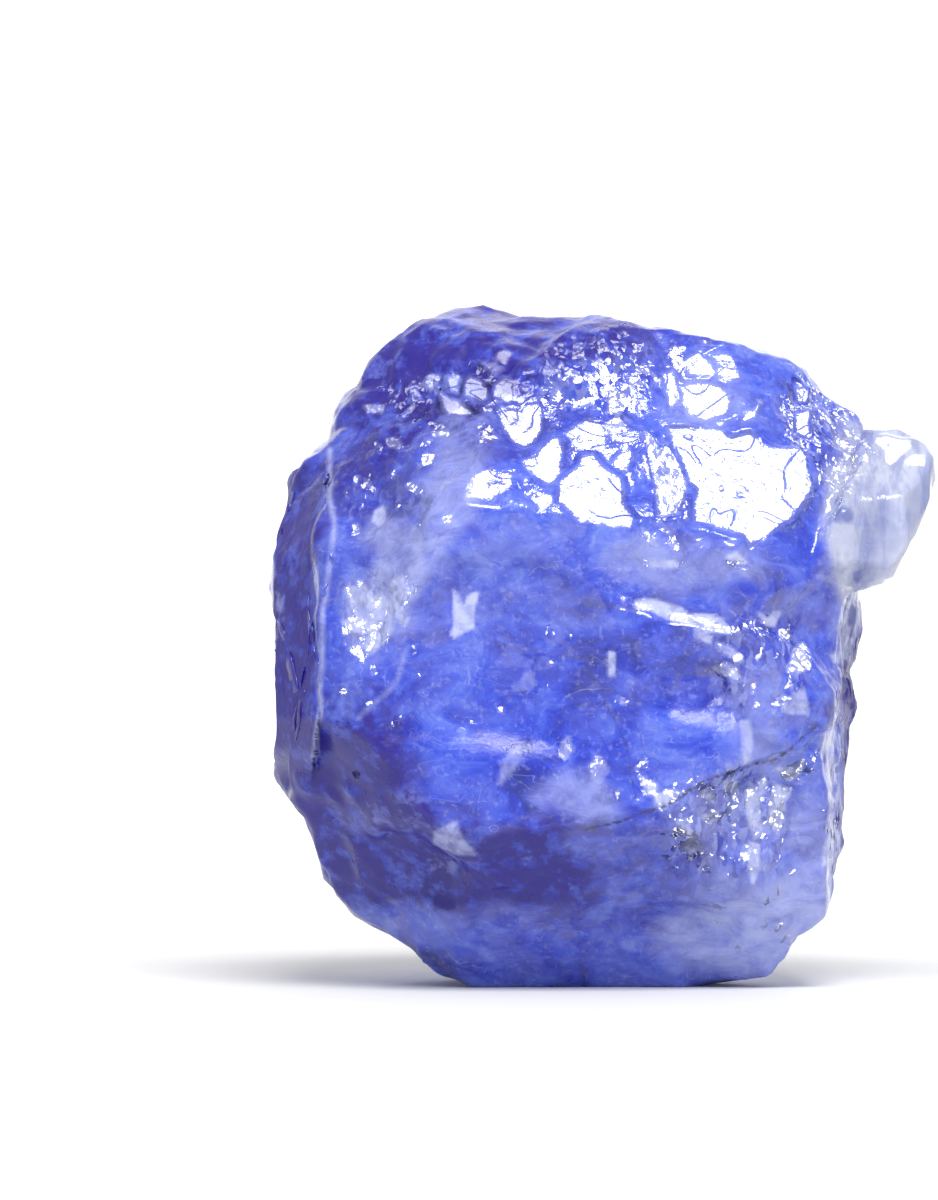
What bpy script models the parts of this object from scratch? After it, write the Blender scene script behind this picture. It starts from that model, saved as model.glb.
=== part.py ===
# Rough sapphire: one natural piece of blue corundum, with a colourless tip grown on its upper right corner.
# It stands on a small flat spot. +Z is up, -Y is the face that shows best, +X is that face's right.
# It is shaped in millimetres and made metres at the end. The origin is the middle of its underside.
import math

import bmesh
import bpy
from mathutils import Matrix, Vector, noise
from mathutils.bvhtree import BVHTree

MM = 0.001
NODE_NAME = "rough_sapphire"

# Driving dimensions
DEPTH = 12.8
HEART = Vector((-0.6, 0.0, 9.2))
BLOCK_SPARE = 1.6
FLOOR = 0.0

# The skin: the finest form that it keeps, and the number of flat triangles that it ends with
SKIN_VOXEL = 0.16
TRIANGLES = 9000
CREASE = 22

# The material
SAPPHIRE_BLUE = (0.10, 0.16, 0.72, 1.0)
SAPPHIRE_IOR = 1.77
SAPPHIRE_ROUGHNESS = 0.15
SAPPHIRE_CLEAR = 0.35

# The broken skin: size of a patch and how much it leans, then how wide the step between two patches is
BROKEN_PATCHES = [(3.4, 0.15), (1.7, 0.22), (0.9, 0.16)]
STEP_WIDTH = 0.16
LEAN_PATTERN = 7.3
HALF = Vector((0.5, 0.5, 0.5))

# Where it is smooth: middle, reach, and how much of the breaking is left there
SMOOTH_SPOTS = [
    ((-2.8, -6.0, 8.2), 5.0, 0.12),
    ((-8.6, -1.6, 9.5), 3.2, 0.2),
    ((8.2, -3.0, 13.2), 2.4, 0.6),
]

# The crack across the lower right of the front, as x and z. Below it the skin lies deeper, which fades downward.
CRACK = [(-0.9, 4.4), (1.3, 5.0), (2.4, 5.6), (3.8, 6.1), (5.2, 6.7), (7.6, 7.9)]
CRACK_DROP = 0.2
CRACK_FADE = 3.2

# The body's widest outline, seen from the front, as x and z. It goes up the left side and down the right.
BODY_OUTLINE = [
    (-3.0, -0.4), (-3.7, 0.15), (-4.8, 0.75), (-6.0, 1.5), (-6.9, 2.1), (-7.5, 2.9), (-7.9, 4.0),
    (-8.1, 4.8), (-8.75, 5.4), (-9.0, 6.0), (-9.05, 6.6), (-9.1, 8.3), (-9.0, 9.3), (-9.2, 10.1),
    (-9.15, 10.8), (-8.9, 11.9), (-8.65, 13.1), (-8.45, 14.1), (-7.8, 14.9), (-7.45, 15.1), (-7.3, 15.9),
    (-6.8, 16.6), (-6.2, 17.5), (-5.7, 18.2), (-5.5, 18.8), (-4.6, 19.1), (-3.4, 19.2), (-1.6, 19.0),
    (0.0, 18.7), (1.4, 18.3), (3.0, 18.1), (4.2, 17.8), (5.5, 17.2), (6.4, 16.6), (7.3, 16.0), (7.55, 15.0),
    (7.5, 12.5), (7.4, 10.9), (7.4, 9.9), (7.25, 9.05), (7.05, 8.9), (7.0, 8.3), (7.15, 7.7), (7.15, 6.9),
    (7.0, 5.6), (6.85, 4.3), (6.65, 3.1), (6.35, 2.1), (5.9, 1.55), (5.45, 1.3), (5.25, 0.85), (4.75, 0.44),
    (4.1, 0.22), (3.0, 0.04), (2.4, -0.4),
]

# Flat growth and cleavage faces of the body: outward direction, and distance from the heart of the stone
BODY_FACES = {
    "front": ((0.03, -1.0, 0.02), 6.1),
    "crown_slope": ((0.06, -0.80, 0.60), 7.15),
    "crown_left": ((-0.46, -0.66, 0.60), 7.95),
    "crown_right": ((0.56, -0.58, 0.59), 8.7),
    "crown_top": ((-0.05, -0.35, 0.94), 9.1),
    "left_cheek": ((-0.45, -0.87, 0.18), 7.8),
    "right_cheek": ((0.66, -0.74, 0.10), 7.9),
    "lower_right": ((0.42, -0.86, -0.28), 7.5),
    "lower_front": ((0.02, -0.74, -0.67), 7.65),
    "lower_left": ((-0.56, -0.60, -0.58), 8.3),
    "left_side": ((-0.95, -0.26, 0.05), 8.2),
    "right_side": ((0.97, -0.22, -0.05), 7.75),
    "back": ((0.10, 0.98, 0.06), 6.2),
    "back_crown": ((-0.12, 0.68, 0.72), 7.9),
    "back_crown_left": ((-0.62, 0.52, 0.58), 8.3),
    "back_crown_right": ((0.60, 0.56, 0.57), 8.5),
    "back_left": ((-0.80, 0.60, 0.02), 7.7),
    "back_right": ((0.74, 0.66, -0.08), 7.5),
    "back_lower": ((0.14, 0.74, -0.66), 7.6),
    "back_lower_left": ((-0.58, 0.56, -0.59), 8.3),
    "back_lower_right": ((0.60, 0.48, -0.64), 8.4),
}

# Ledges broken into the front: outline as x and z, floor as y at a point (x, z), how much that y grows
# with x and with z, and how fast the walls flare outward
LEDGE_MOUTH = -9.0
LEDGES = {
    "left_shelf": (
        [(-7.7, 15.6), (-7.6, 14.1), (-7.6, 13.1), (-7.8, 11.9), (-7.95, 10.5), (-7.9, 9.4), (-8.15, 8.6),
         (-8.2, 7.2), (-8.6, 6.2), (-11.0, 5.4), (-11.0, 16.2)],
        -2.2, (-7.8, 10.0), -0.75, 0.03, 0.0,
    ),
    "shoulder_notch": (
        [(-11.0, 14.6), (-7.6, 15.1), (-6.5, 15.9), (-6.1, 17.0), (-5.9, 18.4), (-6.5, 21.0), (-11.0, 21.0)],
        -1.4, (-7.0, 16.0), -0.5, 0.35, 0.0,
    ),
    "strip_step": (
        [(0.5, 10.8), (3.5, 9.9), (4.6, 11.2), (3.2, 12.6), (1.0, 12.8), (0.0, 11.9)],
        -5.75, (2.0, 11.0), 0.0, -0.16, 0.5,
    ),
    "right_step": (
        [(4.6, 9.9), (6.0, 9.2), (6.6, 8.3), (9.0, 8.2), (9.0, 10.6), (5.6, 11.0)],
        -3.9, (6.2, 9.4), 0.75, -0.1, 0.3,
    ),
}

# Shell-like hollows: the side that they are seen from, their middle there, width, height, depth and turn
# in degrees
HOLLOW_CURVE = 4.0
HOLLOW_FINENESS = 4
HOLLOWS = [
    ("front", -2.8, 8.6, 7.0, 7.4, 0.75, 15),
    ("front", 3.1, 8.2, 5.4, 4.0, 0.45, -15),
    ("front", 0.0, 14.2, 2.6, 2.8, 0.24, 0),
    ("front", 3.4, 14.3, 4.2, 3.0, 0.32, -10),
    ("front", 2.7, 16.8, 3.0, 1.9, 0.28, 10),
    ("front", -2.2, 15.6, 1.4, 1.6, 0.16, 0),
    ("front", -4.0, 16.7, 2.5, 1.6, 0.22, 20),
    ("front", -6.2, 10.2, 1.9, 2.5, 0.26, 0),
    ("front", -6.5, 13.3, 2.2, 3.0, 0.28, -10),
    ("front", 2.5, 3.9, 1.2, 3.6, 0.22, 5),
    ("front", 3.9, 4.4, 1.1, 4.2, 0.22, -5),
    ("front", 5.2, 3.8, 1.1, 3.6, 0.22, 8),
    ("front", 2.2, 1.7, 3.8, 2.4, 0.35, 0),
    ("front", -4.8, 3.3, 4.6, 2.4, 0.42, -20),
    ("front", 5.2, 9.3, 2.0, 1.8, 0.22, 0),
    ("back", 1.6, 11.6, 6.5, 5.5, 0.75, 20),
    ("back", -4.0, 7.2, 5.5, 6.5, 0.60, -25),
    ("back", 3.6, 4.8, 4.0, 5.0, 0.50, 10),
    ("back", -3.0, 15.4, 4.5, 3.0, 0.45, 15),
    ("left", 1.4, 9.5, 4.0, 5.5, 0.55, 10),
    ("left", -1.8, 12.2, 2.2, 3.6, 0.30, 0),
    ("left", -2.0, 6.0, 2.4, 3.0, 0.30, 0),
    ("right", 1.5, 12.4, 4.5, 3.8, 0.50, -15),
    ("right", 0.5, 6.0, 3.8, 4.6, 0.45, 12),
    ("top", -1.8, 0.6, 4.6, 3.6, 0.40, 20),
    ("top", 3.4, 1.4, 3.6, 3.4, 0.40, -20),
]
SIGHT = 40.0
SIDES = {
    "front": lambda u, v: (Vector((u, -SIGHT, v)), Vector((0, 1, 0))),
    "back": lambda u, v: (Vector((u, SIGHT, v)), Vector((0, -1, 0))),
    "left": lambda u, v: (Vector((-SIGHT, u, v)), Vector((1, 0, 0))),
    "right": lambda u, v: (Vector((SIGHT, u, v)), Vector((-1, 0, 0))),
    "top": lambda u, v: (Vector((u, v, SIGHT)), Vector((0, 0, -1))),
}

# The colourless tip: its outline as x and z, its reach in y, and its faces from its own heart
TIP_OUTLINE = [
    (5.9, 11.4), (6.1, 12.5), (6.6, 13.6), (7.1, 14.6), (7.5, 15.4), (8.0, 15.5), (8.4, 15.55), (8.8, 15.35),
    (9.1, 14.9), (9.2, 14.2), (9.1, 13.4), (8.75, 12.8), (8.15, 11.7), (7.8, 11.2), (7.0, 11.1),
]
TIP_NEAR, TIP_FAR = -4.9, -0.3
TIP_HEART = Vector((7.6, -2.4, 13.3))
TIP_FACES = {
    "front": ((0.22, -0.97, -0.05), 2.05),
    "upper_front": ((0.05, -0.72, 0.69), 1.65),
    "right_front": ((0.72, -0.69, 0.0), 1.9),
    "upper_right": ((0.60, 0.05, 0.80), 2.2),
    "back": ((0.12, 0.96, 0.25), 1.75),
    "back_right": ((0.66, 0.72, -0.20), 1.85),
    "back_top": ((0.10, 0.66, 0.74), 2.1),
    "under": ((0.10, -0.45, -0.89), 2.3),
    "under_right": ((0.70, 0.25, -0.67), 2.0),
}


def block_between(near_ring, far_ring):
    """A closed block between two rings of points that match one to one."""
    mesh = bmesh.new()
    near = [mesh.verts.new(point) for point in near_ring]
    far = [mesh.verts.new(point) for point in far_ring]
    mesh.faces.new(near)
    mesh.faces.new(far[::-1])
    for i in range(len(near)):
        j = (i + 1) % len(near)
        mesh.faces.new((near[j], near[i], far[i], far[j]))
    bmesh.ops.recalc_face_normals(mesh, faces=mesh.faces)
    return mesh


def block_of(outline, near, far):
    return block_between([(x, near, z) for x, z in outline], [(x, far, z) for x, z in outline])


def cut_off(mesh, point, normal):
    """Takes off what lies beyond a plane and closes the cut with a flat face."""
    everything = mesh.verts[:] + mesh.edges[:] + mesh.faces[:]
    cut = bmesh.ops.bisect_plane(mesh, geom=everything, plane_co=point, plane_no=normal, clear_outer=True)
    rim = [part for part in cut["geom_cut"] if isinstance(part, bmesh.types.BMEdge)]
    bmesh.ops.holes_fill(mesh, edges=rim)


def cut_faces(mesh, heart, faces):
    for direction, reach in faces.values():
        normal = Vector(direction).normalized()
        cut_off(mesh, heart + normal * reach, normal)


def object_from(mesh, name):
    data = bpy.data.meshes.new(name)
    mesh.to_mesh(data)
    mesh.free()
    made = bpy.data.objects.new(name, data)
    bpy.context.scene.collection.objects.link(made)
    return made


def apply_modifier(thing, kind, **settings):
    modifier = thing.modifiers.new(kind.title(), kind)
    for name, value in settings.items():
        setattr(modifier, name, value)
    bpy.context.view_layer.objects.active = thing
    bpy.ops.object.modifier_apply(modifier=modifier.name)


def combine(thing, tool, operation):
    apply_modifier(thing, "BOOLEAN", object=tool, operation=operation, solver="EXACT")
    bpy.data.objects.remove(tool)


def ledge_tool(outline, floor, at, grow_x, grow_z, flare):
    """What a ledge takes away: all in front of a tilted floor, within walls that may flare outward."""
    middle_x = sum(x for x, _ in outline) / len(outline)
    middle_z = sum(z for _, z in outline) / len(outline)
    near_ring = []
    far_ring = []
    for x, z in outline:
        far_y = floor + (x - at[0]) * grow_x + (z - at[1]) * grow_z
        spread = flare * (far_y - LEDGE_MOUTH)
        near_ring.append((x + (x - middle_x) * spread, LEDGE_MOUTH, z + (z - middle_z) * spread))
        far_ring.append((x, far_y, z))
    return object_from(block_between(near_ring, far_ring), "ledge_tool")


def carve_ledges(stone):
    for ledge in LEDGES.values():
        combine(stone, ledge_tool(*ledge), "DIFFERENCE")


def hollow_tool(surface, side, u, v, width, height, deep, turn):
    """An egg that dips into the stone where a line of sight from one side meets it."""
    origin, sight = SIDES[side](u, v)
    point, normal, _, _ = surface.ray_cast(origin, sight)
    rise = deep * HOLLOW_CURVE
    spread = math.sqrt(1 - (1 - 1 / HOLLOW_CURVE) ** 2)
    facing = normal.to_track_quat("Z", "Y").to_matrix().to_4x4()
    egg = bmesh.new()
    bmesh.ops.create_icosphere(egg, subdivisions=HOLLOW_FINENESS, radius=1.0)
    size = Matrix.Diagonal((width / 2 / spread, height / 2 / spread, rise, 1.0))
    place = Matrix.Translation(point + normal * (rise - deep))
    roll = Matrix.Rotation(math.radians(turn), 4, "Z")
    bmesh.ops.transform(egg, matrix=place @ facing @ roll @ size, verts=egg.verts)
    return object_from(egg, "hollow_tool")


def carve_hollows(stone):
    mesh = bmesh.new()
    mesh.from_mesh(stone.data)
    surface = BVHTree.FromBMesh(mesh)
    mesh.free()
    for hollow in HOLLOWS:
        combine(stone, hollow_tool(surface, *hollow), "DIFFERENCE")


def broken_lift(point, size, tilt):
    """How high the skin lies where each patch of one size is a flat face with a lean of its own."""
    spot = point / size
    distances, centres = noise.voronoi(spot)
    own, other = [
        (spot - centre).dot(noise.cell_vector(centre * LEAN_PATTERN) - HALF) for centre in centres[:2]
    ]
    share = 0.5 + 0.5 * min(1.0, (distances[1] - distances[0]) / STEP_WIDTH)
    return (own * share + other * (1 - share)) * size * tilt


def crack_drop(point):
    """How much deeper the front lies below the crack."""
    for (x, z), (next_x, next_z) in zip(CRACK, CRACK[1:]):
        below = z + (next_z - z) * (point.x - x) / (next_x - x) - point.z
        if x <= point.x < next_x and 0 < below < CRACK_FADE and point.y < 0:
            start = min(1.0, (point.x - CRACK[0][0]) / CRACK_FADE)
            return CRACK_DROP * start * (1 - below / CRACK_FADE) * min(1.0, -point.y / CRACK_FADE)
    return 0.0


def calm(point):
    """Where the skin is smooth: 1 is as rough as the rest, and less is smoother."""
    share = 1.0
    for middle, reach, least in SMOOTH_SPOTS:
        near = min(1.0, (point - Vector(middle)).length / reach)
        share = min(share, least + (1 - least) * near * near)
    return share


def break_up(stone):
    """Breaks the skin up into tilted patches, large ones with smaller ones on them."""
    outward = [vertex.normal.copy() for vertex in stone.data.vertices]
    for vertex, normal in zip(stone.data.vertices, outward):
        lift = sum(broken_lift(vertex.co, size, tilt) for size, tilt in BROKEN_PATCHES)
        vertex.co += normal * (lift * calm(vertex.co) - crack_drop(vertex.co))


def stand_flat(stone):
    """Cuts the small flat spot that the stone rests on, and puts the origin at the middle of its box."""
    mesh = bmesh.new()
    mesh.from_mesh(stone.data)
    cut_off(mesh, Vector((0, 0, FLOOR)), Vector((0, 0, -1)))
    bmesh.ops.triangulate(mesh, faces=mesh.faces)
    for axis in (0, 1):
        places = [vertex.co[axis] for vertex in mesh.verts]
        middle = (min(places) + max(places)) / 2
        for vertex in mesh.verts:
            vertex.co[axis] -= middle
    mesh.to_mesh(stone.data)
    mesh.free()


def sapphire():
    material = bpy.data.materials.new("sapphire")
    material.use_nodes = True
    shader = material.node_tree.nodes["Principled BSDF"]
    shader.inputs["Base Color"].default_value = SAPPHIRE_BLUE
    shader.inputs["Roughness"].default_value = SAPPHIRE_ROUGHNESS
    shader.inputs["Metallic"].default_value = 0.0
    shader.inputs["IOR"].default_value = SAPPHIRE_IOR
    shader.inputs["Transmission Weight"].default_value = SAPPHIRE_CLEAR
    return material


def main():
    for old in list(bpy.data.objects):
        bpy.data.objects.remove(old)
    body = block_of(BODY_OUTLINE, -DEPTH / 2 - BLOCK_SPARE, DEPTH / 2 + BLOCK_SPARE)
    cut_faces(body, HEART, BODY_FACES)
    stone = object_from(body, NODE_NAME)
    carve_ledges(stone)
    carve_hollows(stone)
    tip = block_of(TIP_OUTLINE, TIP_NEAR, TIP_FAR)
    cut_faces(tip, TIP_HEART, TIP_FACES)
    combine(stone, object_from(tip, "tip"), "UNION")
    apply_modifier(stone, "REMESH", mode="VOXEL", voxel_size=SKIN_VOXEL)
    break_up(stone)
    faces = sum(len(face.vertices) - 2 for face in stone.data.polygons)
    apply_modifier(stone, "DECIMATE", ratio=TRIANGLES / faces)
    stand_flat(stone)
    stone.data.transform(Matrix.Scale(MM, 4))
    stone.data.shade_smooth()
    stone.data.set_sharp_from_angle(angle=math.radians(CREASE))
    stone.data.materials.clear()
    stone.data.materials.append(sapphire())


main()
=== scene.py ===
# Looks of a rough sapphire standing on a pale floor.
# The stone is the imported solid, remeshed finer, broken into patches, and given the small flat faces,
# cracks and colour zones of the real one. It has one see-through material.
# Sizes are in millimetres where a name doesn't say otherwise. -Y is the stone's front, +Z is up.
import math

import bpy
from mathutils import Matrix, Vector, kdtree, noise


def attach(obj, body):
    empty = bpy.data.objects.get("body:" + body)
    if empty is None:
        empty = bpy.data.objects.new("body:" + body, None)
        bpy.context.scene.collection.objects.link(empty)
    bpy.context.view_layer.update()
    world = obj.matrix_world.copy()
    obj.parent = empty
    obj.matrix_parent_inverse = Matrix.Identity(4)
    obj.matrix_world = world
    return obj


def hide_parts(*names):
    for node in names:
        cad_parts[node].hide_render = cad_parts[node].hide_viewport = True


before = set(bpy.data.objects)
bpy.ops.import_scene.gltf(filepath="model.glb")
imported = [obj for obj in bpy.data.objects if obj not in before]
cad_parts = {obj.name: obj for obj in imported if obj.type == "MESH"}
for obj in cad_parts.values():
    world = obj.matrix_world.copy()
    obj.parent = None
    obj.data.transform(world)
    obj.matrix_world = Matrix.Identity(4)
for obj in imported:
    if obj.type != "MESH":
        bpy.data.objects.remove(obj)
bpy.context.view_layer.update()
mm = 0.001
half = Vector((0.5, 0.5, 0.5))
noise.seed_set(7)   # without a seed, noise vectors follow the clock


# Camera: the photograph's frame, and the pixel in it that is the stone's origin
camera = {
    "lens": 200,
    "sensor": 36,
    "mmPerPixel": 0.0275,
    "frame": (938, 1200),
    "originPixel": (601.5, 991),
    "faceY": -4,
}


def fromPixel(pixel):
    (across, down), (originAcross, originDown) = pixel, camera["originPixel"]
    return (across - originAcross) * camera["mmPerPixel"], (originDown - down) * camera["mmPerPixel"]


def pick(thing):
    bpy.ops.object.select_all(action="DESELECT")
    thing.select_set(True)
    bpy.context.view_layer.objects.active = thing


def addModifier(thing, kind, **settings):
    pick(thing)
    bpy.ops.object.modifier_add(type=kind)
    modifier = thing.modifiers[-1]
    for name, value in settings.items():
        setattr(modifier, name, value)
    bpy.ops.object.modifier_apply(modifier=modifier.name)


def ease(share):
    share = min(1.0, max(0.0, share))
    return share * share * (3 - 2 * share)


# The stone
stone = {
    "name": "sapphire_rough",
    "node": "rough_sapphire",
    "body": "root",
    "slot": "sapphire",
    "mergeGap": 0.001,
    "voxel": 0.085,
    "softenFactor": 0.5,
    "softenTurns": 3,
    "triangles": 190000,
    "thinRest": 3.0,
    "flatSpotHeight": 0.35,
    "frontDepth": (2.0, 5.2),
    "frontFacing": -0.25,
}

# Tilted patches that the skin is broken into, as size and lean, and how much of them each side gets
skin = {
    "patches": [(1.15, 0.22), (0.55, 0.20), (0.28, 0.10)],
    "stepWidth": 0.22,
    "leanPattern": 5.1,
    "sides": 0.8,
    "front": 0.16,
    "turnsFront": (0.35, 0.7),
}

# Places on the front are x and z, then half width and half height, then the turn in degrees.
# These get more of the patches, or less, by the amount at the end
rougher = [
    ((0.6, 15.2), (4.4, 2.9), 0, 0.12),
    ((5.9, 14.9), (1.9, 2.6), 30, 0.45),
    ((5.6, 8.0), (1.7, 2.6), 0, 0.30),
    ((3.6, 4.2), (2.6, 2.2), 0, 0.40),
    ((-4.6, 16.4), (2.6, 1.8), 0, 0.25),
    ((-6.0, 13.6), (1.6, 3.6), 0, 0.2),
    ((1.6, 1.2), (4.6, 1.6), 0, 0.2),
    ((-3.1, 5.4), (1.4, 1.0), 0, -0.15),
    ((2.5, 6.8), (1.2, 0.6), 0, -0.4),
]

# The shelf left of the front: its arris, as z, x and y, how steeply it falls away and where it fades out
shelf = {
    "arris": [(5.6, -7.95, -4.9), (7.5, -7.75, -5.75), (9.0, -7.65, -5.65), (10.5, -7.60, -5.40),
              (12.0, -7.35, -5.25), (13.5, -7.45, -3.75), (15.4, -7.60, -2.0)],
    "steepness": 1.6,
    "innerX": -7,
    "outerX": -9.25,
    "facing": 0.3,
    "endFade": 1.2,
    "edgeFade": 0.2,
    "blend": 0.35,
}

# Smooth flat faces that catch the lamp. They all lean one way, up and to the side by degrees.
# Outlines here and in the marks are in the photograph's pixels
gloss = {
    "rise": 27.0,
    "side": 4.0,
    "spread": 1.5,
    "strayPattern": (3, 7),
    "edge": 0.10,
    "grow": 0.04,
    "facing": 0.3,
    "level": -0.4,
    "farthest": 0.8,
    # as a mark, these faces get no cells turned to the lamp, a little pale as painted highlight, and no grain
    "mark": (0.0, 0.15, 0.0),
    "faces": [
        [(446, 375), (460, 374), (461, 380), (461, 393), (451, 390), (446, 383)],
        [(463, 381), (470, 375), (478, 378), (485, 385), (489, 386), (489, 398), (481, 403), (473, 398), (463, 394)],
        [(494, 386), (503, 376), (511, 379), (511, 398), (508, 401), (495, 396)],
        [(435, 385), (446, 394), (463, 404), (478, 413), (466, 416), (455, 415), (443, 410)],
        [(480, 361), (493, 363), (503, 368), (496, 375)],
        [(500, 409), (518, 411), (526, 406), (539, 404), (542, 416), (541, 431), (534, 443), (524, 448), (513, 443),
         (504, 431)],
        [(535, 459), (538, 449), (554, 436), (561, 441), (563, 453), (559, 468), (556, 484), (546, 486), (534, 478),
         (524, 469), (522, 461)],
        [(565, 433), (577, 424), (586, 421), (596, 423), (607, 438), (604, 448), (593, 450), (583, 446), (572, 443)],
        [(572, 471), (581, 456), (594, 455), (608, 471), (621, 477), (624, 491), (621, 502), (635, 520), (627, 529),
         (606, 527), (577, 522), (556, 503), (558, 484), (567, 474)],
        [(535, 502), (543, 495), (553, 498), (551, 508), (539, 511)],
        [(625, 443), (631, 456), (628, 469), (621, 471), (612, 463), (618, 456)],
        [(666, 428), (686, 427), (716, 430), (731, 438), (749, 433), (758, 438), (760, 447), (780, 446), (799, 448),
         (814, 458), (817, 473), (811, 492), (799, 509), (791, 521), (779, 526), (759, 541), (746, 546), (741, 537),
         (716, 530), (703, 526), (690, 523), (690, 507), (696, 488), (686, 481), (683, 466), (671, 446)],
        [(642, 432), (653, 438), (657, 452), (666, 448), (680, 469), (684, 484), (680, 498), (673, 514), (657, 516),
         (655, 489), (651, 469), (650, 453)],
        [(687, 357), (700, 351), (711, 360), (716, 372), (703, 375), (690, 374)],
        [(664, 372), (676, 368), (680, 385), (676, 405), (670, 414), (666, 396)],
        [(680, 385), (700, 380), (722, 386), (733, 400), (728, 414), (706, 421), (688, 416)],
        [(740, 423), (744, 413), (754, 410), (759, 401), (762, 403), (756, 416), (746, 423)],
        [(797, 411), (814, 406), (812, 438), (797, 432)],
        [(797, 376), (815, 386), (812, 401), (801, 400)],
        [(877, 436), (888, 434), (902, 438), (915, 439), (912, 449), (900, 461), (891, 467), (885, 464), (884, 453)],
    ],
}

# Places on the front that are evened out: the middle, half width and half height, and the rise in degrees
calm = {
    "places": [((-3.3, 5.6), (2.5, 1.2), 4.0), ((2.5, 6.6), (1.4, 0.9), 4.0)],
    "reach": 1.5,
    "middle": 0.2,
}
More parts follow.
